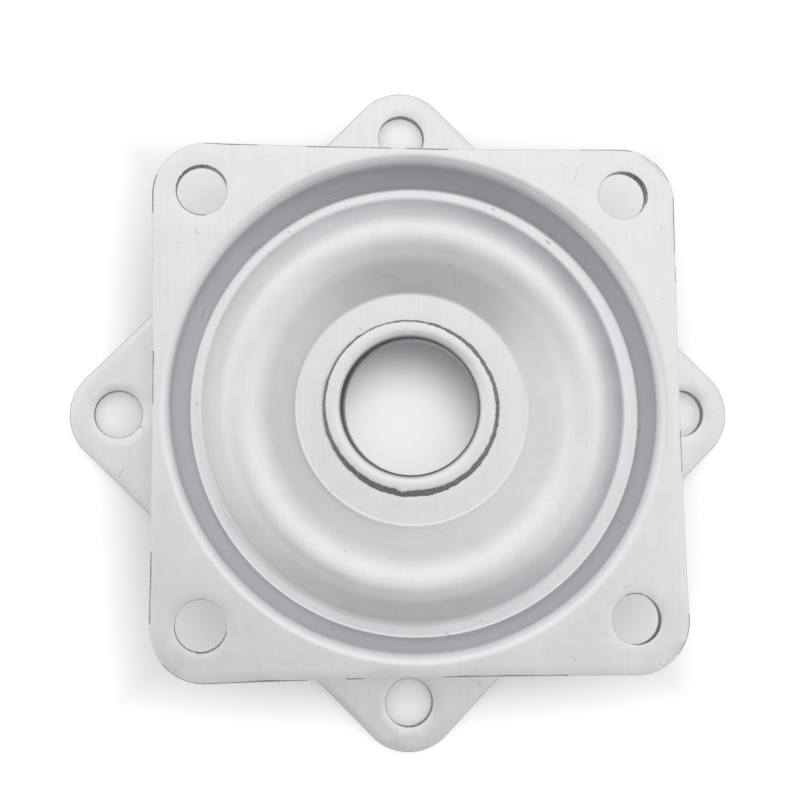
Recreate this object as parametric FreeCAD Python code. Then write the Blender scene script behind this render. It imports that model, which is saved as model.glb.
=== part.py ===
"""A square swivel plate: two identical drawn sheet-steel dishes face each other across a ring of balls.

The lower plate's centre is drawn up into a neck, which passes through the upper plate and is rolled over it.
Millimetres. +Z is the turning axis and points up. The origin is on that axis, in the lower mounting face.
The upper plate's sides lie along X and Y, and the lower plate stands corner-on to it.
"""

import FreeCAD
import Part
from math import acos, asin, cos, floor, pi, radians, sin, tan
import os

# The pair of plates
PLATE_SIDE = 71.0
PLATE_THICKNESS = 1.5
OVERALL_HEIGHT = 16.0
TURN_BETWEEN_PLATES = 45.0
CORNER_RADIUS = 7.2
EDGE_DRAW_IN = 0.4         # how far drawing the dish has pulled in the middle of each side
EDGE_BREAK = 0.2           # rounding that the blanking punch leaves on edges and hole mouths

# Screw holes
HOLE_DIAMETER = 6.6
HOLE_INSET = 7.0           # from the hole's centre to the two sides of its corner

# Balls
BALL_DIAMETER = 7.938
BALL_SPACING = 0.1         # least gap that the ring of balls leaves between neighbours
BALL_CLEARANCE = 0.05      # between a ball and each race

# The dish, from its rim inwards
EDGE_LAND = 1.4            # flat left between the rim's bend and the middle of a side
RIM_RADIUS = 2.3
WALL_ANGLE = 64.0
WALL_FOOT_RADIUS = 0.4
GROOVE_WIDTH = 1.05
GROOVE_RADIUS = 2.3
RACE_RISE = 1.7            # height of the raised race over the groove around it
RACE_RELIEF = 0.13         # race radius over ball radius, on the outer side
INNER_RELIEF = 4.5         # the same, on the inner side
CONE_ANGLE = 43.0
CREASE_RADIUS = 0.4

# The seat around the neck
SEAT_GAP = 0.4             # between the two plates' flat seats
SEAT_LAND = 3.75           # flat shown between the rolled lip and the crease
NECK_WALL = 1.3
NECK_CLEARANCE = 0.15
NECK_ROOT_RADIUS = 0.35
HOLE_MOUTH_RADIUS = 0.3    # rounding of the upper plate's centre hole, under the lip
LIP_RADIUS = 1.9
LIP_LAND = 0.45            # flat top of the rolled lip
LIP_SHEAR_ANGLE = 24.0     # slant of the lip's torn edge, whose foot is the lip's widest part
LIP_GAP = 0.25             # between the lip and the upper seat

# Depths below a plate's own mounting face
BALL_RADIUS = BALL_DIAMETER / 2
CREST_DEPTH = OVERALL_HEIGHT / 2 - BALL_RADIUS - BALL_CLEARANCE - PLATE_THICKNESS
SEAT_DEPTH = OVERALL_HEIGHT / 2 - PLATE_THICKNESS - SEAT_GAP / 2
GROOVE_DEPTH = CREST_DEPTH + RACE_RISE

# Bend radii of the raised race, on the mounting side of the sheet
OUTER_CROWN_RADIUS = BALL_RADIUS + RACE_RELIEF + PLATE_THICKNESS
INNER_CROWN_RADIUS = BALL_RADIUS + INNER_RELIEF + PLATE_THICKNESS
FLANK_ANGLE = acos(1 - RACE_RISE / (OUTER_CROWN_RADIUS + GROOVE_RADIUS))


def run_between_bends(rise, radius_a, radius_b, angle):
    """Distance along the radius between the centres of two opposite bends that one straight slope joins."""
    both = radius_a + radius_b
    return (cos(angle) * (rise - both) + both) / sin(angle)


# Radii of the bends' centres, worked inwards from the plate's side
RIM_AT = PLATE_SIDE / 2 - EDGE_DRAW_IN - EDGE_LAND
WALL_FOOT_AT = RIM_AT - run_between_bends(GROOVE_DEPTH, RIM_RADIUS, WALL_FOOT_RADIUS, radians(WALL_ANGLE))
GROOVE_AT = WALL_FOOT_AT - GROOVE_WIDTH
RACE_AT = GROOVE_AT - (OUTER_CROWN_RADIUS + GROOVE_RADIUS) * sin(FLANK_ANGLE)
CREASE_AT = RACE_AT - run_between_bends(
    SEAT_DEPTH - CREST_DEPTH, INNER_CROWN_RADIUS, CREASE_RADIUS, radians(CONE_ANGLE)
)
LIP_EDGE_AT = CREASE_AT - SEAT_LAND
LIP_CREST_AT = LIP_EDGE_AT - NECK_WALL * tan(radians(LIP_SHEAR_ANGLE))
LIP_AT = LIP_CREST_AT - LIP_LAND
BORE_RADIUS = LIP_AT - LIP_RADIUS
NECK_RADIUS = BORE_RADIUS + NECK_WALL
FUNNEL_RADIUS = NECK_ROOT_RADIUS + PLATE_THICKNESS
CENTRE_HOLE_RADIUS = NECK_RADIUS + NECK_CLEARANCE
BALL_COUNT = floor(pi / asin((BALL_DIAMETER + BALL_SPACING) / 2 / RACE_AT))

AXIS = FreeCAD.Vector(0, 0, 1)
CENTRE = FreeCAD.Vector(0, 0, 0)


def at(radius, height):
    """A point of a section, drawn in the XZ plane."""
    return FreeCAD.Vector(radius, 0, height)


def on_bend(bend, slope, depth):
    """The point of a bend where the sheet has this slope, at this depth under its mounting side."""
    radius, height, signed_radius = bend[:3]
    reach = signed_radius - depth
    return at(radius - reach * sin(slope), height + reach * cos(slope))


def bends_of_dish():
    """Each bend from the seat out to the rim: its centre, its radius and the slopes where it starts and ends.

    A crown has its centre under the sheet and a positive radius, and a hollow has a negative one.
    """
    cone = radians(CONE_ANGLE)
    wall = radians(WALL_ANGLE)
    return [
        (CREASE_AT, CREASE_RADIUS - SEAT_DEPTH, -CREASE_RADIUS, 0, cone),
        (RACE_AT, -CREST_DEPTH - INNER_CROWN_RADIUS, INNER_CROWN_RADIUS, cone, 0),
        (RACE_AT, -CREST_DEPTH - OUTER_CROWN_RADIUS, OUTER_CROWN_RADIUS, 0, -FLANK_ANGLE),
        (GROOVE_AT, GROOVE_RADIUS - GROOVE_DEPTH, -GROOVE_RADIUS, -FLANK_ANGLE, 0),
        (WALL_FOOT_AT, WALL_FOOT_RADIUS - GROOVE_DEPTH, -WALL_FOOT_RADIUS, 0, wall),
        (RIM_AT, -RIM_RADIUS, RIM_RADIUS, wall, 0),
    ]


def sheet_side(start_radius, depth):
    """The edges of one side of the dished sheet, from the start radius out to the rim."""
    last = at(start_radius, -SEAT_DEPTH - depth)
    edges = []
    for bend in bends_of_dish():
        slope_in, slope_out = bend[3:]
        first, middle, end = (
            on_bend(bend, slope, depth) for slope in (slope_in, (slope_in + slope_out) / 2, slope_out)
        )
        if last.distanceToPoint(first) > 1e-6:
            edges.append(Part.makeLine(last, first))
        edges.append(Part.Arc(first, middle, end).toShape())
        last = end
    return edges


def turned(edges):
    """The solid that a closed section makes when it is turned once around the axis."""
    wire = Part.Wire(Part.__sortEdges__(edges))
    return Part.Face(wire).revolve(CENTRE, AXIS, 360)


def dish(start_radius):
    """The round dished part of a plate, with its mounting face at height 0."""
    top = sheet_side(start_radius, 0)
    bottom = sheet_side(start_radius, PLATE_THICKNESS)
    inner_end = Part.makeLine(at(start_radius, -SEAT_DEPTH), at(start_radius, -SEAT_DEPTH - PLATE_THICKNESS))
    outer_end = Part.makeLine(at(RIM_AT, 0), at(RIM_AT, -PLATE_THICKNESS))
    return turned(top + bottom + [inner_end, outer_end])


def outline():
    """The square blank's outline: four sides that bow in a little, before its corners are rounded."""
    half = PLATE_SIDE / 2
    waist = half - EDGE_DRAW_IN
    corners = [(half, half), (-half, half), (-half, -half), (half, -half)]
    middles = [(0, waist), (-waist, 0), (0, -waist), (waist, 0)]
    sides = []
    for number, middle in enumerate(middles):
        start = corners[number]
        end = corners[(number + 1) % 4]
        arc = Part.Arc(*(FreeCAD.Vector(x, y, 0) for x, y in (start, middle, end)))
        sides.append(arc.toShape())
    return Part.Wire(sides)


def is_upright(edge):
    return abs(edge.tangentAt(edge.FirstParameter).z) > 0.99


def flange():
    """The flat square flange around the dish, with its screw holes and its blanked edges."""
    blank = Part.Face(outline()).extrude(FreeCAD.Vector(0, 0, -PLATE_THICKNESS))
    blank = blank.makeFillet(CORNER_RADIUS, [edge for edge in blank.Edges if is_upright(edge)])
    offset = PLATE_SIDE / 2 - HOLE_INSET
    base = FreeCAD.Vector(0, 0, -PLATE_THICKNESS)
    holes = [
        Part.makeCylinder(HOLE_DIAMETER / 2, PLATE_THICKNESS, base + FreeCAD.Vector(x, y, 0))
        for x in (-offset, offset)
        for y in (-offset, offset)
    ]
    punched = blank.cut(holes)
    level = [edge for edge in punched.Edges if abs(edge.tangentAt(edge.FirstParameter).z) < 0.01]
    punched = punched.makeFillet(EDGE_BREAK, level)
    opening = Part.makeCylinder(RIM_AT, PLATE_THICKNESS, base)
    return punched.cut(opening)


def pressed_plate(start_radius):
    """One plate with its mounting face up, at height 0."""
    return flange().fuse(dish(start_radius)).removeSplitter()


def is_mouth(edge):
    """Whether this is the upper edge of a plate's centre hole."""
    box = edge.BoundBox
    return abs(box.ZMin + SEAT_DEPTH) < 1e-4 and box.ZLength < 1e-4 and box.XMax < CENTRE_HOLE_RADIUS + 1e-4


def upper_plate():
    """The plate that turns, pierced to clear the neck."""
    plate = pressed_plate(CENTRE_HOLE_RADIUS)
    plate = plate.makeFillet(HOLE_MOUTH_RADIUS, [edge for edge in plate.Edges if is_mouth(edge)])
    plate.translate(FreeCAD.Vector(0, 0, OVERALL_HEIGHT))
    return plate


def quarter_bend(wall_radius, level, bend_radius):
    """A quarter round from a level face up into the upright wall inside it."""
    middle = bend_radius * (1 - cos(pi / 4))
    return Part.Arc(
        at(wall_radius + bend_radius, level),
        at(wall_radius + middle, level + middle),
        at(wall_radius, level + bend_radius),
    ).toShape()


def lip_edges(lip_height, under_radius):
    """The rolled end of the neck, from its bore round to its outer wall."""

    def on_roll(radius, turn):
        return at(LIP_AT - radius * cos(turn), lip_height + radius * sin(turn))

    def roll(radius):
        return Part.Arc(*(on_roll(radius, turn) for turn in (0, pi / 4, pi / 2))).toShape()

    crest = at(LIP_CREST_AT, lip_height + LIP_RADIUS)
    foot = at(LIP_EDGE_AT, lip_height + under_radius)
    return [
        roll(LIP_RADIUS),
        Part.makeLine(on_roll(LIP_RADIUS, pi / 2), crest),
        Part.makeLine(crest, foot),
        Part.makeLine(foot, on_roll(under_radius, pi / 2)),
        roll(under_radius),
    ]


def neck():
    """The neck drawn up out of the lower seat, with its rolled lip. It starts where the lower dish ends."""
    seat_top = SEAT_DEPTH + PLATE_THICKNESS
    under_radius = LIP_RADIUS - NECK_WALL
    lip_height = OVERALL_HEIGHT - SEAT_DEPTH + LIP_GAP - under_radius
    root = neck_root_radius()
    edges = lip_edges(lip_height, under_radius) + [
        quarter_bend(BORE_RADIUS, SEAT_DEPTH, FUNNEL_RADIUS),
        Part.makeLine(at(BORE_RADIUS, SEAT_DEPTH + FUNNEL_RADIUS), at(BORE_RADIUS, lip_height)),
        Part.makeLine(at(NECK_RADIUS, lip_height), at(NECK_RADIUS, seat_top + NECK_ROOT_RADIUS)),
        quarter_bend(NECK_RADIUS, seat_top, NECK_ROOT_RADIUS),
        Part.makeLine(at(NECK_RADIUS + NECK_ROOT_RADIUS, seat_top), at(root, seat_top)),
        Part.makeLine(at(root, seat_top), at(root, SEAT_DEPTH)),
        Part.makeLine(at(root, SEAT_DEPTH), at(BORE_RADIUS + FUNNEL_RADIUS, SEAT_DEPTH)),
    ]
    return turned(edges)


def neck_root_radius():
    """Where the neck's section takes over from the dish's, outside both of its root bends."""
    return max(BORE_RADIUS + FUNNEL_RADIUS, NECK_RADIUS + NECK_ROOT_RADIUS) + PLATE_THICKNESS / 4


def lower_plate():
    """The fixed plate, mounting face down, turned corner-on, with the neck in one piece with it."""
    plate = pressed_plate(neck_root_radius())
    plate.rotate(CENTRE, FreeCAD.Vector(1, 0, 0), 180)
    plate.rotate(CENTRE, AXIS, TURN_BETWEEN_PLATES)
    return plate.fuse(neck()).removeSplitter()


def ball(number):
    """One ball of the full ring, between the two races."""
    angle = 2 * pi * number / BALL_COUNT
    centre = FreeCAD.Vector(RACE_AT * cos(angle), RACE_AT * sin(angle), OVERALL_HEIGHT / 2)
    return Part.makeSphere(BALL_RADIUS, centre)


def main():
    os.makedirs("parts", exist_ok=True)
    nodes = {"upper_plate": upper_plate(), "lower_plate": lower_plate()}
    for number in range(BALL_COUNT):
        nodes[f"ball_{number + 1:02d}"] = ball(number)
    for name, shape in nodes.items():
        shape.exportStep(f"parts/{name}.step")


main()
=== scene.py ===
"""The looks of a square swivel plate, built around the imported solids.

Both pressed plates are remodelled finely from the same sizes as the solids: their drawn sheet, blanked edges,
screw holes and torn neck lip. The balls keep their solids and get a finish of their own.
Sizes are millimetres, and to_metres() is the only place that turns them into metres.
"""

from math import acos, asin, atan2, ceil, cos, hypot, pi, radians, sin, sqrt, tan

import bmesh
import bpy
import numpy as np
from mathutils import Euler, Matrix, Vector, noise
from mathutils.geometry import delaunay_2d_cdt


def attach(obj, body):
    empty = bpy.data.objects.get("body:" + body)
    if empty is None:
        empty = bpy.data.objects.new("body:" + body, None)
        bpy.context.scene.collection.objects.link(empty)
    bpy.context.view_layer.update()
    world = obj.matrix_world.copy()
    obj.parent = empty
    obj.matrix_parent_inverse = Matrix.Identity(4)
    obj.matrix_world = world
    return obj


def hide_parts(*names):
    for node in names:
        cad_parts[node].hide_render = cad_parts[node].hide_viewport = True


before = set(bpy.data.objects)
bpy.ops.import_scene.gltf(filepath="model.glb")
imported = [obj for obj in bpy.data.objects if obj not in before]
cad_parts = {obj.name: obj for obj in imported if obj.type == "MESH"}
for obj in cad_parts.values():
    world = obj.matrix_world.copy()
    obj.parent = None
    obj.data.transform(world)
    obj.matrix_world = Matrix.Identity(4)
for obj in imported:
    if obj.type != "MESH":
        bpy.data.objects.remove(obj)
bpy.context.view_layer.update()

MM = 0.001

# Sizes that the solids have
PLATE_SIDE = 71.0
PLATE_THICKNESS = 1.5
OVERALL_HEIGHT = 16.0
TURN_BETWEEN_PLATES = 45.0
CORNER_RADIUS = 7.2
EDGE_DRAW_IN = 0.4
HOLE_DIAMETER = 6.6
HOLE_INSET = 7.0
BALL_RADIUS = 3.969
BALL_CLEARANCE = 0.05
EDGE_LAND = 1.4
RIM_RADIUS = 2.3
WALL_ANGLE = radians(64.0)
WALL_FOOT_RADIUS = 0.4
GROOVE_WIDTH = 1.05
GROOVE_RADIUS = 2.3
RACE_RISE = 1.7
RACE_RELIEF = 0.13
INNER_RELIEF = 4.5
CONE_ANGLE = radians(43.0)
CREASE_RADIUS = 0.4
SEAT_GAP = 0.4
SEAT_LAND = 3.75
NECK_WALL = 1.3
NECK_CLEARANCE = 0.15
NECK_ROOT_RADIUS = 0.35
HOLE_MOUTH_RADIUS = 0.3
LIP_RADIUS = 1.9
LIP_LAND = 0.45
LIP_SHEAR_ANGLE = radians(24.0)
LIP_GAP = 0.25

# Depths below a plate's mounting face, and the radii of its bends
CREST_DEPTH = OVERALL_HEIGHT / 2 - BALL_RADIUS - BALL_CLEARANCE - PLATE_THICKNESS
SEAT_DEPTH = OVERALL_HEIGHT / 2 - PLATE_THICKNESS - SEAT_GAP / 2
GROOVE_DEPTH = CREST_DEPTH + RACE_RISE
OUTER_CROWN_RADIUS = BALL_RADIUS + RACE_RELIEF + PLATE_THICKNESS
INNER_CROWN_RADIUS = BALL_RADIUS + INNER_RELIEF + PLATE_THICKNESS
FLANK_ANGLE = acos(1 - RACE_RISE / (OUTER_CROWN_RADIUS + GROOVE_RADIUS))


def run_between_bends(rise, radius_a, radius_b, angle):
    """Distance along the radius between the centres of two opposite bends that one straight slope joins."""
    both = radius_a + radius_b
    return (cos(angle) * (rise - both) + both) / sin(angle)


def bends_between(rise, run, angle):
    """Both bends' radii together, where one straight slope of this angle joins them over this rise and run."""
    return (run * sin(angle) - rise * cos(angle)) / (1 - cos(angle))


RIM_AT = PLATE_SIDE / 2 - EDGE_DRAW_IN - EDGE_LAND
WALL_FOOT_AT = RIM_AT - run_between_bends(GROOVE_DEPTH, RIM_RADIUS, WALL_FOOT_RADIUS, WALL_ANGLE)
GROOVE_AT = WALL_FOOT_AT - GROOVE_WIDTH
RACE_AT = GROOVE_AT - (OUTER_CROWN_RADIUS + GROOVE_RADIUS) * sin(FLANK_ANGLE)
CREASE_AT = RACE_AT - run_between_bends(
    SEAT_DEPTH - CREST_DEPTH, INNER_CROWN_RADIUS, CREASE_RADIUS, CONE_ANGLE
)
LIP_EDGE_AT = CREASE_AT - SEAT_LAND
LIP_CREST_AT = LIP_EDGE_AT - NECK_WALL * tan(LIP_SHEAR_ANGLE)
LIP_AT = LIP_CREST_AT - LIP_LAND
BORE_RADIUS = LIP_AT - LIP_RADIUS
NECK_RADIUS = BORE_RADIUS + NECK_WALL
FUNNEL_RADIUS = NECK_ROOT_RADIUS + PLATE_THICKNESS
CENTRE_HOLE_RADIUS = NECK_RADIUS + NECK_CLEARANCE
LIP_UNDER_RADIUS = LIP_RADIUS - NECK_WALL
LIP_HEIGHT = OVERALL_HEIGHT - SEAT_DEPTH + LIP_GAP - LIP_UNDER_RADIUS

# The dish as its visible side shows it: straighter slopes than the race behind it, between the same ends
SHOWN_CONE_ANGLE = radians(34.0)
SHOWN_FLANK_ANGLE = radians(25.0)
SHOWN_WALL_ANGLE = radians(58.5)
SHOWN_RIM_SHIFT = 0.38         # how much further out the rim starts to bend
SHOWN_FOOT_SHIFT = 0.12        # how much further out the wall's foot is
SHOWN_GROOVE_SHIFT = 0.4       # how much further out its flank meets the groove
SHOWN_CREASE_SHIFT = -0.2      # and the crease round the seat
SHOWN_CREASE_RADIUS = 0.85
SHOWN_GROOVE_SHARE = 0.27      # the groove's share of the two bends that the flank joins
ROLL_SQUARENESS = 0.62         # below 1 makes the lip's roll flatter on top and tighter at the bore

# How finely the sheet is drawn
TURNS = 544                # points round the dish, a multiple of 8
OUTLINE_STEP = 0.28        # between points along a blanked edge
HOLE_POINTS = 72
SHEET_GRID = 1.3           # between the points inside the flat flange
FINE_BEND = radians(3.0)   # between sections of a bend that shows
COARSE_BEND = radians(9.0)

# Blanked edges
DIE_ROLL = 0.17            # rounding that the punch leaves on its own side
ROLL_VARIES = 0.75         # how much that grows and shrinks along the edge
ROLL_POINTS = 6
BURR_ROUND = 0.08          # on the other side
WORN_EDGE = 0.12           # noise above this has worn the zinc off the rolled edge
TEAR_SHARE = 0.45          # share of the thickness that shears cleanly before it tears
TEAR_DEPTH = 0.035         # roughness of the torn part

# What is uneven about this pressing, seen from above
BLANK_DRIFT = (0.31, -0.41)    # how far the upper blank's outline is off its screw holes
GROOVE_DRIFT = (0.34, -0.32)   # how far the groove's outer edge is off the dish's middle
FLANK_DRIFT_SHARE = 0.1        # and its inner edge, as a share of that
LIP_DRIFT = (-0.42, 0.20)      # how far the rolled lip leans off the neck's middle
# Round the lip, in degrees: how far its lit top reaches out before it breaks off
LIP_TEAR = [
    (0, 0.18), (15, 0.04), (28, -0.14), (45, -0.22), (62, -0.22), (75, -0.08), (100, 0.06), (130, 0.12),
    (165, 0.06), (190, 0.02), (205, -0.06), (225, -0.16), (245, -0.10), (258, -0.16), (263, 0.34),
    (268, -0.16), (285, -0.04), (300, 0.08), (315, 0.16), (335, 0.24),
]
CORNER_FOLD = 0.11             # how far the tips of two corners are bent down
FOLD_POINTS = 9                # outline points from a corner's middle to the end of its fold


def wobble(x, y, seed, scale):
    """Smooth noise between about -1 and 1 over the sheet."""
    return noise.noise(Vector((x * scale, y * scale, seed)))


def smooth(value, low, high):
    """Goes smoothly from 0 at low to 1 at high."""
    share = np.clip((value - low) / (high - low), 0, 1)
    return share * share * (3 - 2 * share)


def arc_points(centre, radius, start, end, step):
    """Points of an arc in a section, with both of its ends. Angles are in radians from the outward direction."""
    count = max(2, ceil(abs(end - start) / step) + 1)
    return [
        (centre[0] + radius * cos(a), centre[1] + radius * sin(a)) for a in np.linspace(start, end, count)
    ]


def bends_of_dish(shown=False):
    """Each bend from the seat out to the rim: its centre, its radius and the slopes where it starts and ends."""
    cone, flank = CONE_ANGLE, FLANK_ANGLE
    inner_crown, outer_crown, groove = INNER_CROWN_RADIUS, OUTER_CROWN_RADIUS, GROOVE_RADIUS
    crease_at, crease = CREASE_AT, CREASE_RADIUS
    groove_at, foot_at, wall, rim_at, rim = GROOVE_AT, WALL_FOOT_AT, WALL_ANGLE, RIM_AT, RIM_RADIUS
    if shown:
        cone, flank, wall = SHOWN_CONE_ANGLE, SHOWN_FLANK_ANGLE, SHOWN_WALL_ANGLE
        crease_at, crease = CREASE_AT + SHOWN_CREASE_SHIFT, SHOWN_CREASE_RADIUS
        inner_crown = bends_between(SEAT_DEPTH - CREST_DEPTH, RACE_AT - crease_at, cone) - crease
        groove_at += SHOWN_GROOVE_SHIFT
        both = bends_between(RACE_RISE, groove_at - RACE_AT, flank)
        groove = SHOWN_GROOVE_SHARE * both
        outer_crown = both - groove
        foot_at += SHOWN_FOOT_SHIFT
        rim_at += SHOWN_RIM_SHIFT
        rim = bends_between(GROOVE_DEPTH, rim_at - foot_at, wall) - WALL_FOOT_RADIUS
    return [
        (crease_at, crease - SEAT_DEPTH, -crease, 0, cone),
        (RACE_AT, -CREST_DEPTH - inner_crown, inner_crown, cone, 0),
        (RACE_AT, -CREST_DEPTH - outer_crown, outer_crown, 0, -flank),
        (groove_at, groove - GROOVE_DEPTH, -groove, -flank, 0),
        (foot_at, WALL_FOOT_RADIUS - GROOVE_DEPTH, -WALL_FOOT_RADIUS, 0, wall),
        (rim_at, -rim, rim, wall, 0),
    ]


def dish_side(start_radius, depth, step, shown=False):
    """One side of the dished sheet, from the start radius out to the rim, as radius and height."""
    points = [(start_radius, -SEAT_DEPTH - depth)]
    points.append(((start_radius + CREASE_AT) / 2, -SEAT_DEPTH - depth))
    for radius, height, bend, slope_in, slope_out in bends_of_dish(shown):
        count = max(5, ceil(abs(slope_out - slope_in) / step) + 1)
        for slope in np.linspace(slope_in, slope_out, count):
            reach = bend - depth
            point = (radius - reach * sin(slope), height + reach * cos(slope))
            if hypot(point[0] - points[-1][0], point[1] - points[-1][1]) > 1e-4:
                points.append(point)
    return points


def upper_top_section():
    """The upper plate's visible side: over the dish from the rim in, and down its centre hole."""
    top = dish_side(CENTRE_HOLE_RADIUS + HOLE_MOUTH_RADIUS, 0, FINE_BEND, shown=True)[::-1]
    mouth_centre = (CENTRE_HOLE_RADIUS + HOLE_MOUTH_RADIUS, -SEAT_DEPTH - HOLE_MOUTH_RADIUS)
    mouth = arc_points(mouth_centre, HOLE_MOUTH_RADIUS, pi / 2, pi, radians(18))[1:]
    wall = [(CENTRE_HOLE_RADIUS, -SEAT_DEPTH - PLATE_THICKNESS)]
    return [(r, z + OVERALL_HEIGHT) for r, z in top + mouth + wall]


def upper_race_section():
    """The upper plate's underside, with the race, from the centre hole out to the rim."""
    under = dish_side(CENTRE_HOLE_RADIUS, PLATE_THICKNESS, COARSE_BEND)
    return [(r, z + OVERALL_HEIGHT) for r, z in under]


def neck_section():
    """The neck from its funnel mouth up the bore, over the lip and down its outer wall to the lower seat."""
    funnel_centre = (BORE_RADIUS + FUNNEL_RADIUS, SEAT_DEPTH + FUNNEL_RADIUS)
    funnel = arc_points(funnel_centre, FUNNEL_RADIUS, -pi / 2, -pi, radians(7))
    bore = [(BORE_RADIUS, z) for z in np.linspace(SEAT_DEPTH + FUNNEL_RADIUS, LIP_HEIGHT, 4)[1:-1]]
    roll = [
        (LIP_AT - LIP_RADIUS * cos(a) ** ROLL_SQUARENESS, LIP_HEIGHT + LIP_RADIUS * sin(a) ** ROLL_SQUARENESS)
        for a in np.linspace(0, pi / 2, 19)
    ]
    crest_height = LIP_HEIGHT + LIP_RADIUS
    land = [(r, crest_height) for r in np.linspace(LIP_AT, LIP_CREST_AT - 0.1, 5)[1:]]
    foot_height = LIP_HEIGHT + LIP_UNDER_RADIUS
    tear = [
        (LIP_CREST_AT + share * (LIP_EDGE_AT - LIP_CREST_AT), crest_height - share * NECK_WALL)
        for share in np.linspace(0.03, 1, 13)
    ]
    under = [(r, foot_height) for r in np.linspace(LIP_EDGE_AT, LIP_AT, 3)[1:]]
    under_roll = arc_points((LIP_AT, LIP_HEIGHT), LIP_UNDER_RADIUS, pi / 2, pi, radians(22))[1:]
    seat_top = SEAT_DEPTH + PLATE_THICKNESS
    root_centre = (NECK_RADIUS + NECK_ROOT_RADIUS, seat_top + NECK_ROOT_RADIUS)
    root = arc_points(root_centre, NECK_ROOT_RADIUS, pi, 3 * pi / 2, radians(22))
    return funnel + bore + roll + land + tear + under + under_roll + root


def lower_section():
    """The lower plate's section: along its mounting side from the rim in, through the neck and back above."""
    seat_start = BORE_RADIUS + FUNNEL_RADIUS
    race_start = NECK_RADIUS + NECK_ROOT_RADIUS
    under = [(r, -z) for r, z in dish_side(seat_start, 0, COARSE_BEND)][::-1]
    above = [(r, -z) for r, z in dish_side(race_start, PLATE_THICKNESS, COARSE_BEND)]
    return under[:-1] + neck_section() + above[1:]


def round_lip(values, angle):
    """A value that is listed round the lip, at an angle in radians."""
    angles = [row[0] for row in values]
    return np.interp(np.degrees(angle) % 360, angles, [row[1] for row in values], period=360)


def tear_lip(points, section):
    """Leans the lip over, and roughens its rim, which tore unevenly when the neck was drawn."""
    crest_height = LIP_HEIGHT + LIP_RADIUS
    seat_height = OVERALL_HEIGHT - SEAT_DEPTH
    drift = np.array(LIP_DRIFT)
    for level, (radius, height) in enumerate(section):
        if radius > LIP_EDGE_AT + 0.01:
            continue
        points[level, :, :2] += drift * smooth(height, seat_height - 0.3, crest_height - 0.4)
        if radius < LIP_AT + 0.05 or height < LIP_HEIGHT + LIP_UNDER_RADIUS - 0.01:
            continue
        reach = (radius - LIP_AT) / (LIP_EDGE_AT - LIP_AT)
        drop = (crest_height - height) / NECK_WALL
        for turn in range(TURNS):
            angle = 2 * pi * turn / TURNS
            around = Vector((cos(angle), sin(angle), 0))
            slow = noise.noise(around * 2.1 + Vector((3.1, 7.7, 0.4)))
            quick = noise.noise(around * 13.0 + Vector((1.2, 0.3, drop * 1.2)))
            grit = noise.noise(around * 46.0 + Vector((9.2, 4.3, drop * 5.0)))
            torn = round_lip(LIP_TEAR, angle) * (1 - 0.8 * drop)
            shift = min(reach * 1.6, 1) * (torn + 0.10 * quick + 0.09 * grit)
            points[level, turn, 0] += shift * cos(angle)
            points[level, turn, 1] += shift * sin(angle)
            points[level, turn, 2] += reach * (0.05 * slow + 0.04 * quick - 0.06 * (1 - drop))
    return points


def let_groove_drift(points, section):
    """Sets the groove a little off the dish's middle on the side that shows. The race keeps its place."""
    drift = np.array(GROOVE_DRIFT)
    for level, (radius, height) in enumerate(section):
        inner = smooth(radius, RACE_AT + 1.0, GROOVE_AT) * FLANK_DRIFT_SHARE
        outer = smooth(radius, GROOVE_AT, WALL_FOOT_AT - 0.1) * (1 - FLANK_DRIFT_SHARE)
        share = (inner + outer) * (1 - smooth(radius, WALL_FOOT_AT + 0.3, RIM_AT - 1.2))
        if height > OVERALL_HEIGHT - GROOVE_DEPTH - 0.5:
            points[level, :, :2] += drift * share
    return points


def revolved(section):
    """The rings of points that a section makes as it goes round."""
    angles = np.arange(TURNS) * 2 * pi / TURNS
    section = np.array(section)
    rings = np.zeros((len(section), TURNS, 3))
    rings[:, :, 0] = section[:, :1] * np.cos(angles)
    rings[:, :, 1] = section[:, :1] * np.sin(angles)
    rings[:, :, 2] = section[:, 1:]
    return rings


def grid_faces(offset, rows, columns):
    """Quads between neighbouring closed rings."""
    faces = []
    for row in range(rows - 1):
        for column in range(columns):
            after = (column + 1) % columns
            a = offset + row * columns
            faces.append((a + column, a + columns + column, a + columns + after, a + after))
    return faces


def outline_points(drift=(0, 0)):
    """Points and outward directions round the blank: four sides that bow in, and four round corners."""
    half = PLATE_SIDE / 2
    bow = (half**2 + EDGE_DRAW_IN**2) / (2 * EDGE_DRAW_IN)
    bow_centre = half - EDGE_DRAW_IN + bow
    reach = bow + CORNER_RADIUS
    corner = (bow_centre - sqrt(2 * reach**2 - bow_centre**2)) / 2
    lean = asin(corner / reach)
    side_count = ceil(2 * lean * bow / OUTLINE_STEP)
    corner_count = ceil((pi / 2 + 2 * lean) * CORNER_RADIUS / OUTLINE_STEP)
    places, outward = [], []
    for quarter in range(4):
        spin = Matrix.Rotation(quarter * pi / 2, 2)
        for lean_here in np.linspace(lean, -lean, side_count, endpoint=False):
            direction = Vector((-sin(lean_here), cos(lean_here)))
            places.append(spin @ (Vector((0, bow_centre)) - bow * direction))
            outward.append(spin @ direction)
        for turn in np.linspace(-lean, pi / 2 + lean, corner_count, endpoint=False):
            direction = Vector((-sin(turn), cos(turn)))
            places.append(spin @ (Vector((-corner, corner)) + CORNER_RADIUS * direction))
            outward.append(spin @ direction)
    return np.array(places) + np.array(drift), np.array(outward)


def hole_points(centre):
    """Points round a screw hole, and the directions out of the metal, which are towards its middle."""
    angles = np.linspace(0, 2 * pi, HOLE_POINTS, endpoint=False)
    spokes = np.stack([np.cos(angles), np.sin(angles)], axis=1)
    return np.array(centre) + spokes * HOLE_DIAMETER / 2, -spokes


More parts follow.
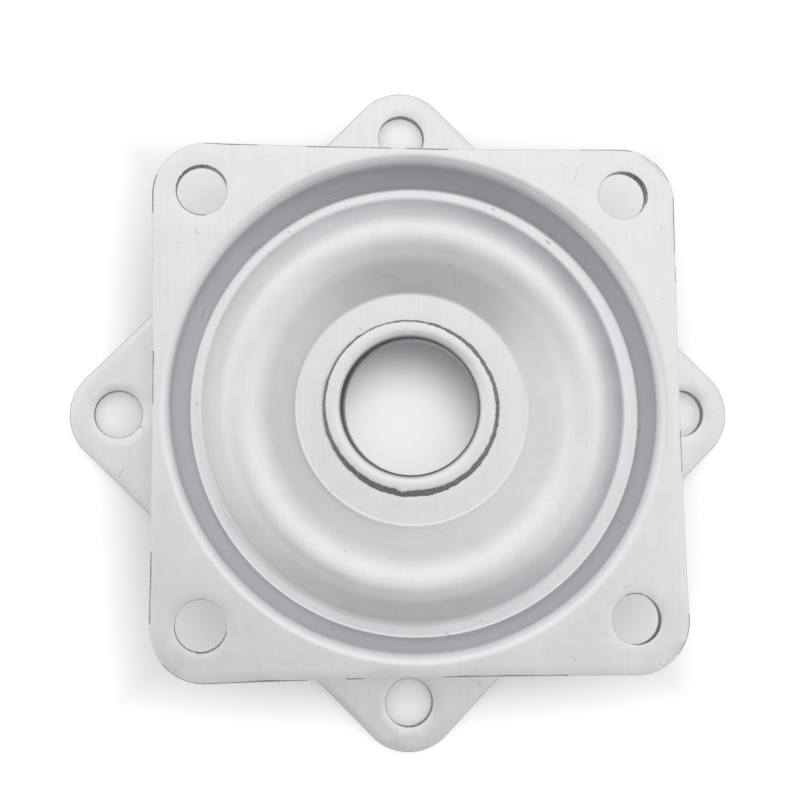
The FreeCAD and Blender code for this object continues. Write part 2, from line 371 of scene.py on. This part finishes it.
def edge_section():
    """A blanked edge from the punch's side to the other: how far in from the edge, and how deep."""
    roll = [(DIE_ROLL * (1 - sin(a)), DIE_ROLL * (1 - cos(a))) for a in np.linspace(0, pi / 2, ROLL_POINTS)]
    wall = [(0, depth) for depth in np.linspace(DIE_ROLL, PLATE_THICKNESS - BURR_ROUND, 6)[1:]]
    base = PLATE_THICKNESS - BURR_ROUND
    burr = [
        (BURR_ROUND * (1 - cos(a)), base + BURR_ROUND * sin(a)) for a in np.linspace(0, pi / 2, 3)[1:]
    ]
    return roll + wall + burr


def edge_rings(places, outward, seed):
    """The rings of points down one blanked edge, rough where the metal tore. Depth is below the punch's side."""
    section = edge_section()
    rings = np.zeros((len(section), len(places), 3))
    for level, (inset, depth) in enumerate(section):
        torn = depth > PLATE_THICKNESS * TEAR_SHARE and depth < PLATE_THICKNESS - BURR_ROUND / 2
        for index, (place, direction) in enumerate(zip(places, outward)):
            rough = 0.0
            if torn:
                rough = TEAR_DEPTH * abs(wobble(place[0], place[1] + depth, seed, 2.6))
            size = 1.0
            if level < ROLL_POINTS:
                size += ROLL_VARIES * wobble(place[0], place[1], seed + 3.7, 0.22)
            x, y = place - direction * (inset * size + rough)
            rings[level, index] = (x, y, -depth * size)
    return rings


def inside_polygon(points, polygon):
    """Which of the points lie inside a closed polygon."""
    inside = np.zeros(len(points), bool)
    x, y = points[:, 0], points[:, 1]
    for (xa, ya), (xb, yb) in zip(polygon, np.roll(polygon, -1, axis=0)):
        if ya != yb:
            crosses = (ya > y) != (yb > y)
            inside ^= crosses & (x < xa + (y - ya) * (xb - xa) / (yb - ya))
    return inside


def flat_region(outer, inner_loops, lines=()):
    """Triangles that fill a flat region between an outer loop and its holes, with a grid of points inside.

    Lines are pairs of the outer loop's points that the triangles keep an edge between.
    """
    loops = [outer] + inner_loops
    points, edges = [], []
    for loop in loops:
        first = len(points)
        points += [Vector(p[:2]) for p in loop]
        edges += [(first + i, first + (i + 1) % len(loop)) for i in range(len(loop))]
    edges += list(lines)
    rim = np.array([p[:2] for p in points])
    half = PLATE_SIDE / 2
    for x in np.arange(-half, half, SHEET_GRID):
        for y in np.arange(-half, half, SHEET_GRID):
            if np.min(np.hypot(rim[:, 0] - x, rim[:, 1] - y)) > SHEET_GRID * 0.6:
                points.append(Vector((x, y)))
    made, _, triangles, _, _, _ = delaunay_2d_cdt(points, edges, [], 0, 1e-7)
    made = np.array([tuple(v) for v in made])
    triangles = np.array(triangles)
    middles = made[triangles].mean(axis=1)
    wanted = inside_polygon(middles, outer)
    for loop in inner_loops:
        wanted &= ~inside_polygon(middles, loop)
    triangles = triangles[wanted]
    used, renumbered = np.unique(triangles, return_inverse=True)
    return made[used], renumbered.reshape(-1, 3)


class Sheet:
    """The points and faces of one pressed plate, gathered part by part."""

    def __init__(self):
        self.points, self.faces, self.finish = [], [], []

    def add(self, points, faces, finish=0):
        first = len(self.points)
        self.points += [tuple(p) for p in points]
        self.faces += [tuple(first + i for i in face) for face in faces]
        self.finish += [finish] * len(faces)

    def add_rings(self, rings, finish=0, torn_rows=(), drawn_rows=()):
        """Adds closed rings, one below the other. The torn rows get a cut edge's finish, the drawn rows the neck's,
        with its painted shade.
        """
        rows, columns = rings.shape[:2]
        self.add(rings.reshape(-1, 3), grid_faces(0, rows, columns), finish)
        for special, special_rows in ((1, torn_rows), (2, drawn_rows)):
            for row in special_rows:
                first = len(self.finish) - (rows - 1 - row) * columns
                self.finish[first : first + columns] = [special] * columns


def fold_at(outline, corner):
    """The outline's indices at the two ends of a corner's fold. Corners count from the top left, leftwards."""
    places = outline[0]
    spin = radians(135 + 90 * corner)
    middle = int(np.argmax(places @ np.array([cos(spin), sin(spin)])))
    return middle - FOLD_POINTS, middle + FOLD_POINTS


def add_flange(sheet, seed, drift=(0, 0), folded_corners=(), rim_shift=0.0):
    """The flat flange in the plate's own frame, its mounting face up at height 0, with its blanked edges.

    The rim shift is how much further out the dish starts on the mounting face's side.
    """
    offset = PLATE_SIDE / 2 - HOLE_INSET
    loops = [outline_points(drift)]
    loops += [hole_points((x, y)) for x in (-offset, offset) for y in (-offset, offset)]
    rings = [edge_rings(places, outward, seed + 5 * number) for number, (places, outward) in enumerate(loops)]
    angles = np.arange(TURNS) * 2 * pi / TURNS
    spokes = np.stack([np.cos(angles), np.sin(angles)], axis=1)
    folds = [fold_at(loops[0], corner) for corner in folded_corners]
    for start, end in folds:
        middle = slice(start + 1, end)
        rings[0][:, middle, 2] -= CORNER_FOLD * (1 + rings[0][:, middle, 2] / PLATE_THICKNESS)
    for ring in rings:
        sheet.add_rings(ring, 1)
        for column in range(ring.shape[1]):
            x, y = ring[0, column, :2]
            if wobble(x, y, seed + 8.1, 0.16) < WORN_EDGE:
                for row in range(ROLL_POINTS - 1):
                    sheet.finish[column - (len(ring) - 1 - row) * ring.shape[1]] = 0
    for level, height in ((0, 0.0), (-1, -PLATE_THICKNESS)):
        border = rings[0][level][:, :2]
        lines = []
        if level == 0:
            for start, end in folds:
                lines += [(start, end), (start + 1, end - 1)]
        rim = spokes * (RIM_AT + (rim_shift if level == 0 else 0.0))
        points, triangles = flat_region(border, [r[level][:, :2] for r in rings[1:]] + [rim], lines)
        heights = np.full(len(points), height)
        for start, end in folds if level == 0 else ():
            across = border[end] - border[start]
            normal = np.array([across[1], -across[0]]) / hypot(*across)
            if normal @ border[start] < 0:
                normal = -normal
            reach = (points - border[start]) @ normal
            inner = (border[start + 1] - border[start]) @ normal
            heights[reach > inner * 0.9] -= CORNER_FOLD
        sheet.add(np.column_stack([points, heights]), triangles)


def to_metres(points):
    return [tuple(c * MM for c in p) for p in points]


def make_piece(name, sheet, body, node, materials):
    """Turns the gathered sheet into a closed, smooth mesh that stands for its CAD node."""
    mesh = bpy.data.meshes.new(name)
    mesh.from_pydata(to_metres(sheet.points), [], sheet.faces)
    for material in materials:
        mesh.materials.append(material)
    mesh.polygons.foreach_set("material_index", sheet.finish)
    shape = bmesh.new()
    shape.from_mesh(mesh)
    bmesh.ops.remove_doubles(shape, verts=shape.verts, dist=2e-7)
    bmesh.ops.recalc_face_normals(shape, faces=shape.faces)
    open_edges = sum(1 for edge in shape.edges if len(edge.link_faces) != 2)
    print(name, "faces", len(shape.faces), "open edges", open_edges)
    shape.to_mesh(mesh)
    shape.free()
    mesh.shade_smooth()
    piece = bpy.data.objects.new(name, mesh)
    bpy.context.scene.collection.objects.link(piece)
    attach(piece, body)
    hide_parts(node)
    return piece


def upper_sheet():
    sheet = Sheet()
    add_flange(sheet, 11.3, BLANK_DRIFT, (2, 3), SHOWN_RIM_SHIFT)
    sheet.points = [(x, y, z + OVERALL_HEIGHT) for x, y, z in sheet.points]
    top = upper_top_section()
    sheet.add_rings(let_groove_drift(revolved(top), top))
    sheet.add_rings(revolved(upper_race_section()))
    return sheet


def lower_sheet():
    """The same flange turned over and corner-on, with the dish and neck in one piece with it."""
    sheet = Sheet()
    add_flange(sheet, 47.9)
    spin = Matrix.Rotation(radians(TURN_BETWEEN_PLATES), 3, "Z") @ Matrix.Rotation(pi, 3, "X")
    sheet.points = [tuple(spin @ Vector(p)) for p in sheet.points]
    section = lower_section()
    crest_height = LIP_HEIGHT + LIP_RADIUS
    torn = [
        row
        for row, ((r, z), (r_next, z_next)) in enumerate(zip(section, section[1:]))
        if LIP_CREST_AT - 0.02 < r and r_next < LIP_EDGE_AT + 0.01 and z > z_next and z > crest_height - NECK_WALL
    ]
    drawn = [row for row, (r, z) in enumerate(section[:-1]) if r < LIP_AT - 0.01 and z > SEAT_DEPTH + 0.3]
    sheet.add_rings(tear_lip(revolved(section), section), torn_rows=torn, drawn_rows=drawn)
    return sheet


# The zinc's colours and gloss
ZINC_DULL = (0.72, 0.725, 0.735, 1)
ZINC_BRIGHT = (0.77, 0.775, 0.785, 1)
ZINC_GREY = (0.52, 0.53, 0.56, 1)
ZINC_STEEP_SHADE = (0.50, 0.512, 0.54, 1)   # painted shade: steep walls are darker the steeper they are
STEEP_SHADE_FROM, STEEP_SHADE_FULL = 0.80, 0.50   # by how far up the surface faces, 1 being flat
ZINC_BORE_SHADE = (0.30, 0.306, 0.325, 1)   # painted shade inside the neck's bore, on its steep faces
BORE_SHADE_FROM, BORE_SHADE_FULL = 0.93, 0.66
ZINC_ROUGHNESS = 0.32


class Nodes:
    """A short way to write a material's or the world's nodes."""

    def __init__(self, owner):
        owner.use_nodes = True
        self.tree = owner.node_tree
        self.tree.nodes.clear()

    def add(self, kind, **settings):
        node = self.tree.nodes.new(kind)
        for name, value in settings.items():
            setattr(node, name, value)
        return node

    def link(self, source, target):
        self.tree.links.new(source, target)

    def feed(self, socket, value):
        if isinstance(value, bpy.types.NodeSocket):
            self.link(value, socket)
        else:
            socket.default_value = value

    def vector(self, operation, *values):
        """A vector operation. Gives its number where the operation makes one."""
        node = self.add("ShaderNodeVectorMath", operation=operation)
        for socket, value in zip(node.inputs, values):
            self.feed(socket, value)
        return node.outputs["Value" if operation in ("DOT_PRODUCT", "LENGTH", "DISTANCE") else "Vector"]

    def math(self, operation, a, b=0.0, c=0.0, clamp=False):
        node = self.add("ShaderNodeMath", operation=operation, use_clamp=clamp)
        for socket, value in zip(node.inputs, (a, b, c)):
            self.feed(socket, value)
        return node.outputs[0]

    def times(self, vector, factor):
        """A vector times one number."""
        node = self.add("ShaderNodeVectorMath", operation="SCALE")
        self.feed(node.inputs["Vector"], vector)
        self.feed(node.inputs["Scale"], factor)
        return node.outputs["Vector"]

    def scaled(self, vector, factors):
        node = self.add("ShaderNodeVectorMath", operation="MULTIPLY")
        self.feed(node.inputs[0], vector)
        self.feed(node.inputs[1], factors)
        return node.outputs[0]

    def noise(self, vector, scale, detail=2.0, roughness=0.5):
        node = self.add("ShaderNodeTexNoise")
        self.feed(node.inputs["Vector"], vector)
        self.feed(node.inputs["Scale"], scale)
        self.feed(node.inputs["Detail"], detail)
        self.feed(node.inputs["Roughness"], roughness)
        return node.outputs["Fac"]

    def remap(self, value, low, high, to_low, to_high, smooth=False):
        node = self.add("ShaderNodeMapRange")
        if smooth:
            node.interpolation_type = "SMOOTHSTEP"
        for socket, number in zip(node.inputs, (value, low, high, to_low, to_high)):
            self.feed(socket, number)
        return node.outputs[0]

    def mix_colour(self, share, a, b):
        node = self.add("ShaderNodeMix", data_type="RGBA")
        self.feed(node.inputs["Factor"], share)
        self.feed(node.inputs[6], a)
        self.feed(node.inputs[7], b)
        return node.outputs[2]

    def bump(self, height, distance, strength=1.0, normal=None):
        node = self.add("ShaderNodeBump")
        self.feed(node.inputs["Strength"], strength)
        self.feed(node.inputs["Distance"], distance)
        self.feed(node.inputs["Height"], height)
        if normal is not None:
            self.link(normal, node.inputs["Normal"])
        return node.outputs["Normal"]


# Specks, nicks and scratches that show: from, to, half width and how dark
UPPER_MARKS = [
    ((-29.21, 23.21), (-28.95, 22.42), 0.10, 0.5),
    ((-31.72, 21.32), (-31.53, 21.25), 0.10, 0.5),
    ((21.92, 30.67), (22.23, 31.79), 0.07, 0.45),
    ((22.23, 31.79), (23.38, 33.07), 0.06, 0.4),
    ((33.67, 24.48), (33.79, 23.92), 0.10, 0.45),
    ((20.57, 32.38), (20.99, 32.32), 0.08, 0.3),
    ((10.02, 33.74), (10.15, 33.47), 0.10, 0.4),
    ((-14.26, 31.29), (-13.99, 31.16), 0.08, 0.3),
    ((11.19, 27.48), (11.47, 27.35), 0.16, 0.6),
    ((18.83, 22.96), (19.11, 22.68), 0.18, 0.65),
    ((4.92, 19.54), (5.35, 19.15), 0.08, 0.45),
    ((5.65, 18.51), (6.00, 16.77), 0.06, 0.35),
    ((-5.78, 19.65), (-4.17, 17.84), 0.06, 0.25),
    ((-4.17, 17.84), (-2.38, 18.14), 0.07, 0.4),
    ((3.57, 16.22), (3.86, 15.97), 0.08, 0.3),
    ((3.74, -30.12), (4.15, -30.47), 0.12, 0.55),
    ((8.44, -28.54), (8.69, -28.80), 0.09, 0.45),
    ((7.83, -29.99), (8.04, -30.10), 0.09, 0.4),
    ((18.97, -22.48), (19.17, -22.76), 0.08, 0.4),
    ((27.35, -15.48), (27.57, -15.89), 0.13, 0.45),
    ((30.77, -3.42), (30.84, -3.71), 0.08, 0.4),
    ((26.99, -24.20), (27.26, -24.27), 0.11, 0.4),
    ((19.82, -33.37), (20.09, -33.51), 0.10, 0.4),
    ((31.37, -34.24), (31.64, -34.51), 0.12, 0.45),
    ((18.26, -5.74), (18.44, -5.88), 0.09, 0.4),
    ((-29.21, 0.62), (-29.08, 0.22), 0.12, 0.55),
    ((-11.68, -29.19), (-11.15, -29.33), 0.10, 0.5),
    ((-18.74, -0.20), (-18.34, -0.31), 0.07, 0.3),
    ((-18.48, -2.06), (-18.21, -2.11), 0.07, 0.35),
    ((-16.89, -5.90), (-16.75, -6.17), 0.08, 0.35),
    ((-14.04, -2.31), (-13.84, -2.58), 0.08, 0.35),
    ((-7.20, 11.17), (-6.93, 10.90), 0.12, 0.6),
    ((-21.88, 20.94), (-21.35, 21.59), 0.12, 0.4),
    ((-16.91, 23.96), (-16.64, 23.83), 0.12, 0.5),
    ((-19.61, 21.03), (-19.34, 20.74), 0.10, 0.55),
    ((-11.44, 28.86), (-9.94, 29.33), 0.07, 0.35),
    ((-28.61, 11.74), (-28.08, 13.07), 0.09, 0.4),
    ((7.54, -8.95), (7.96, -8.68), 0.16, 0.8),
    ((18.18, 31.15), (19.31, 32.00), 0.06, 0.25),
    ((-11.34, -10.83), (-11.08, -11.23), 0.10, 0.4),
    ((5.76, 30.55), (7.16, 30.19), 0.06, 0.3),
    ((25.78, 10.65), (26.03, 9.81), 0.07, 0.25),
    ((33.19, 14.23), (34.32, 14.51), 0.06, 0.25),
]
LOWER_MARKS = [
    ((-37.27, -1.65), (-37.06, -1.79), 0.14, 0.75),
    ((-40.08, -8.64), (-39.61, -7.68), 0.10, 0.45),
    ((-39.47, -8.65), (-39.00, -8.10), 0.08, 0.3),
    ((-39.89, -6.57), (-39.55, -6.37), 0.07, 0.3),
    ((-36.65, 9.64), (-36.51, 8.80), 0.07, 0.35),
    ((9.89, -37.71), (10.03, -37.92), 0.13, 0.6),
    ((44.73, 0.38), (45.79, 0.23), 0.06, 0.25),
    ((44.39, -0.65), (45.29, -0.80), 0.06, 0.2),
    ((-5.67, -38.26), (-5.40, -39.09), 0.06, 0.3),
]


MARK_STRENGTH = 0.7


def millimetres(nodes):
    """Object coordinates in millimetres."""
    nodes.where = nodes.add("ShaderNodeTexCoord")
    return nodes.scaled(nodes.where.outputs["Object"], (1 / MM, 1 / MM, 1 / MM))


def marks_mask(n, at, marks):
    """How dark the named marks are at a place on the sheet. Their borders are a little ragged."""
    ragged = n.add("ShaderNodeTexNoise")
    n.link(at, ragged.inputs["Vector"])
    ragged.inputs["Scale"].default_value = 3.0
    flat = n.vector("MULTIPLY_ADD", ragged.outputs["Color"], (0.22, 0.22, 0), (-0.11, -0.11, 0))
    flat = n.vector("MULTIPLY_ADD", at, (1, 1, 0), flat)
    darkest = 0.0
    for start, end, half_width, dark in marks:
        dark *= MARK_STRENGTH
        along = Vector((end[0] - start[0], end[1] - start[1], 0))
        offset = n.vector("SUBTRACT", flat, (*start, 0))
        share = n.vector("DOT_PRODUCT", offset, along / along.length_squared)
        share = n.math("MINIMUM", n.math("MAXIMUM", share, 0.0), 1.0)
        reach = n.vector("DISTANCE", offset, n.times(along, share))
        fade = dark / (half_width * 1.4)
        here = n.math("MULTIPLY_ADD", reach, -fade, fade * half_width * 1.5)
        darkest = n.math("MAXIMUM", n.math("MINIMUM", here, dark), darkest)
    return darkest


def zinc_material(name, marks, drawn=False):
    """Thinly galvanised sheet: satin, softly mottled, with fine rolling lines, specks and a few scratches.

    Its steep faces get painted shade, and inside the neck's bore that painted shade is darker still.
    """
    material = bpy.data.materials.new(name)
    n = Nodes(material)
    at = millimetres(n)
    mottle = n.noise(at, 0.22, 3.0)
    patches = n.noise(at, 0.9, 4.0, 0.6)
    grain = n.noise(at, 6.0, 2.0)
    rolling = n.noise(n.scaled(at, (5.0, 0.10, 5.0)), 1.0, 3.0)
    specks = n.add("ShaderNodeTexVoronoi")
    n.link(at, specks.inputs["Vector"])
    specks.inputs["Scale"].default_value = 0.42
    speck = n.remap(specks.outputs["Distance"], 0.02, 0.05, 0.35, 0.0)
    marks_here = n.math("MAXIMUM", marks_mask(n, at, marks), speck)
    light = n.mix_colour(n.remap(mottle, 0.3, 0.7, 0, 1), ZINC_DULL, ZINC_BRIGHT)
    streaked = n.mix_colour(n.remap(rolling, 0.35, 0.75, 0, 0.12), light, ZINC_GREY)
    patchy = n.mix_colour(n.remap(patches, 0.5, 0.8, 0, 0.10), streaked, ZINC_GREY)
    facing = n.math("ABSOLUTE", n.vector("DOT_PRODUCT", n.where.outputs["Normal"], (0, 0, 1)))
    # painted shade: the steeper a face, the more it is mixed towards a darker zinc
    steep_shaded = n.mix_colour(n.remap(facing, STEEP_SHADE_FROM, STEEP_SHADE_FULL, 0, 1), patchy, ZINC_STEEP_SHADE)
    # painted shade in the neck's bore: its steep faces darker still
    if drawn:
        steep_shaded = n.mix_colour(n.remap(facing, BORE_SHADE_FROM, BORE_SHADE_FULL, 0, 1), steep_shaded, ZINC_BORE_SHADE)
    marked = n.mix_colour(marks_here, steep_shaded, (0.12, 0.115, 0.11, 1))
    shader = n.add("ShaderNodeBsdfPrincipled")
    n.link(marked, shader.inputs["Base Color"])
    shader.inputs["Metallic"].default_value = 1.0
    rough = n.math(
        "ADD",
        n.remap(mottle, 0.3, 0.7, ZINC_ROUGHNESS - 0.03, ZINC_ROUGHNESS + 0.03),
        n.remap(rolling, 0.3, 0.7, -0.02, 0.02),
    )
    n.link(rough, shader.inputs["Roughness"])
    normal = n.bump(grain, 0.003 * MM, 0.6)
    normal = n.bump(rolling, 0.004 * MM, 0.5, normal)
    normal = n.bump(patches, 0.02 * MM, 0.4, normal)
    n.link(normal, shader.inputs["Normal"])
    out = n.add("ShaderNodeOutputMaterial")
    n.link(shader.outputs[0], out.inputs[0])
    return material


def cut_edge_material():
    """The blanked edge: bare steel, in streaks of brighter and duller grey."""
    material = bpy.data.materials.new("cut_edge")
    n = Nodes(material)
    at = millimetres(n)
    streaks = n.noise(n.scaled(at, (6.0, 6.0, 0.6)), 1.0, 2.0)
    grain = n.noise(at, 4.0, 3.0)
    tone = n.mix_colour(n.remap(streaks, 0.35, 0.65, 0, 1), (0.22, 0.22, 0.23, 1), (0.42, 0.42, 0.43, 1))
    shader = n.add("ShaderNodeBsdfPrincipled")
    n.link(tone, shader.inputs["Base Color"])
    shader.inputs["Metallic"].default_value = 1.0
    shader.inputs["Roughness"].default_value = 0.5
    n.link(n.bump(grain, 0.02 * MM), shader.inputs["Normal"])
    out = n.add("ShaderNodeOutputMaterial")
    n.link(shader.outputs[0], out.inputs[0])
    return material


def ball_material():
    """Ground and polished ball steel with a thin film of grease."""
    material = bpy.data.materials.new("ball_steel")
    n = Nodes(material)
    at = millimetres(n)
    film = n.noise(at, 0.5, 3.0)
    scuffs = n.noise(n.scaled(at, (1.0, 1.0, 9.0)), 2.0, 2.0)
    shader = n.add("ShaderNodeBsdfPrincipled")
    shader.inputs["Base Color"].default_value = (0.62, 0.62, 0.63, 1)
    shader.inputs["Metallic"].default_value = 1.0
    n.link(n.remap(film, 0.3, 0.7, 0.08, 0.24), shader.inputs["Roughness"])
    n.link(n.bump(scuffs, 0.001 * MM, 0.4), shader.inputs["Normal"])
    out = n.add("ShaderNodeOutputMaterial")
    n.link(shader.outputs[0], out.inputs[0])
    return material


# The studio light's level by the height of its direction, from level with the table to overhead
STUDIO_LEVELS = [(0.0, 0.60), (0.30, 0.86), (0.60, 0.90), (0.85, 1.16), (1.0, 0.975)]
STUDIO_COLOUR = (0.995, 0.987, 1.0, 1)
# Near overhead it gains to the right and, more, to the back
OVERHEAD_GAIN = Vector((0.2, 0.6, 0.0))
OVERHEAD_FROM = 0.8
# Level with the table it gains to the left and the back
LEVEL_GAIN = Vector((-0.18, 0.11, 0.0))
LEVEL_UNTIL = 0.5
# It is dimmer on the photographer's side: the middle of that, how far it spreads and how much it takes away
DARK_TOWARDS = Vector((0.0, -0.72, 0.69))
DARK_SPREAD = radians(56.0)
DARK_LOSS = 0.40


def make_world():
    """Soft studio light. The camera sees plain white behind the table.

    Mirrored in metal it stays what it is, light and shade, because it is what gives satin zinc its form.
    """
    world = bpy.data.worlds.new("studio")
    bpy.context.scene.world = world
    n = Nodes(world)
    direction = n.add("ShaderNodeTexCoord").outputs["Generated"]
    height = n.vector("DOT_PRODUCT", direction, (0, 0, 1))
    strength = STUDIO_LEVELS[0][1]
    for (low, level), (high, next_level) in zip(STUDIO_LEVELS, STUDIO_LEVELS[1:]):
        strength = n.math("ADD", strength, n.remap(height, low, high, 0.0, next_level - level))
    overhead = n.remap(height, OVERHEAD_FROM, 1.0, 0.0, 1.0, smooth=True)
    strength = n.math("MULTIPLY_ADD", n.vector("DOT_PRODUCT", direction, OVERHEAD_GAIN), overhead, strength)
    level = n.remap(height, 0.0, LEVEL_UNTIL, 1.0, 0.0, smooth=True)
    strength = n.math("MULTIPLY_ADD", n.vector("DOT_PRODUCT", direction, LEVEL_GAIN), level, strength)
    towards = n.vector("DOT_PRODUCT", direction, DARK_TOWARDS)
    loss = n.remap(towards, cos(DARK_SPREAD), 1.0, 0.0, DARK_LOSS, smooth=True)
    lit = n.add("ShaderNodeBackground")
    lit.inputs["Color"].default_value = STUDIO_COLOUR
    n.link(n.math("SUBTRACT", strength, loss), lit.inputs["Strength"])
    seen = n.add("ShaderNodeBackground")
    seen.inputs["Color"].default_value = (1, 1, 1, 1)
    path = n.add("ShaderNodeLightPath")
    mix = n.add("ShaderNodeMixShader")
    n.link(n.math("MAXIMUM", path.outputs["Is Camera Ray"], path.outputs["Is Transmission Ray"]), mix.inputs[0])
    n.link(lit.outputs[0], mix.inputs[1])
    n.link(seen.outputs[0], mix.inputs[2])
    out = n.add("ShaderNodeOutputWorld")
    n.link(mix.outputs[0], out.inputs[0])


TABLE_HALF = 3.0
TABLE_AT = -0.02 * MM                   # a hair below the mounting face, so that the two don't coincide
TABLE_WHITE = (0.9, 0.9, 0.9, 1)
TABLE_SEEN = (1.05, 1.05, 1.06, 1)      # its colour to the eye and in reflections, so that it reads as white
OPEN_PAINTED_LIGHT = (34.0, 46.0, 0.30)          # painted light that the table shows to the eye: from here off the middle, in full, and how much
BORE_LIGHT_POOL = (14.5, 6.5, 0.36)           # the same for a painted pool of light on the table, seen through the bore
BORE_LIGHT_POOL_AT = (-0.5, -4.2, 0)


def make_floor():
    """A white table that keeps the object's soft shadow, with painted light on it away from the plates and in a pool
    under the bore.
    """
    half = TABLE_HALF
    mesh = bpy.data.meshes.new("table")
    corners = [(-half, -half, 0), (half, -half, 0), (half, half, 0), (-half, half, 0)]
    mesh.from_pydata(corners, [], [(0, 1, 2, 3)])
    floor = bpy.data.objects.new("table", mesh)
    floor.location.z = TABLE_AT
    bpy.context.scene.collection.objects.link(floor)
    material = bpy.data.materials.new("table_white")
    n = Nodes(material)
    path = n.add("ShaderNodeLightPath")
    seen = n.math("MAXIMUM", path.outputs["Is Camera Ray"], path.outputs["Is Glossy Ray"])
    seen = n.math("MAXIMUM", seen, path.outputs["Is Transmission Ray"])
    paint = n.add("ShaderNodeBsdfDiffuse")
    n.link(n.mix_colour(seen, TABLE_WHITE, TABLE_SEEN), paint.inputs["Color"])
    flat = n.scaled(millimetres(n), (1, 1, 0))
    sides = n.add("ShaderNodeSeparateXYZ")
    n.link(n.vector("ABSOLUTE", flat), sides.inputs[0])
    off_middle = n.math("MAXIMUM", sides.outputs["X"], sides.outputs["Y"])
    # painted light: the table glows to the eye away from the plates and in a pool under the bore
    around = n.remap(off_middle, *OPEN_PAINTED_LIGHT[:2], 0, OPEN_PAINTED_LIGHT[2], smooth=True)
    under_bore = n.remap(n.vector("DISTANCE", flat, BORE_LIGHT_POOL_AT), *BORE_LIGHT_POOL[:2], 0, BORE_LIGHT_POOL[2], smooth=True)
    painted_glow = n.add("ShaderNodeEmission")
    n.link(n.math("MULTIPLY", seen, n.math("ADD", around, under_bore)), painted_glow.inputs["Strength"])
    both = n.add("ShaderNodeAddShader")
    n.link(paint.outputs[0], both.inputs[0])
    n.link(painted_glow.outputs[0], both.inputs[1])
    out = n.add("ShaderNodeOutputMaterial")
    n.link(both.outputs[0], out.inputs[0])
    mesh.materials.append(material)


def make_camera():
    """The photograph's view, nearly straight down, from a little in front of and left of the axis."""
    data = bpy.data.cameras.new("camera")
    data.lens = 61.15
    data.sensor_width = 36.0
    data.shift_x = 0.0483
    data.shift_y = -0.0235
    data.clip_start = 0.01
    camera = bpy.data.objects.new("camera", data)
    camera.location = Vector((-24.23, -17.69, 176.9 + OVERALL_HEIGHT)) * MM
    camera.rotation_euler = Euler([radians(a) for a in (6.697, -5.314, -0.603)], "XYZ")
    bpy.context.scene.collection.objects.link(camera)
    bpy.context.scene.camera = camera


bpy.context.scene.view_settings.view_transform = "Standard"
upper_zinc = zinc_material("upper_zinc", UPPER_MARKS)
lower_zinc = zinc_material("lower_zinc", LOWER_MARKS)
# the neck's zinc, with painted shade in its bore
neck_zinc_bore_shaded = zinc_material("neck_zinc_bore_shaded", [], drawn=True)
cut_edge = cut_edge_material()
ball_steel = ball_material()
make_piece("upper_pressing", upper_sheet(), "upper plate", "upper_plate", [upper_zinc, cut_edge])
lower_finishes = [lower_zinc, cut_edge, neck_zinc_bore_shaded]
make_piece("lower_pressing", lower_sheet(), "lower plate", "lower_plate", lower_finishes)
for name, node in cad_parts.items():
    if name.startswith("ball_"):
        for slot in node.material_slots:
            slot.material = ball_steel
make_world()
make_floor()
make_camera()
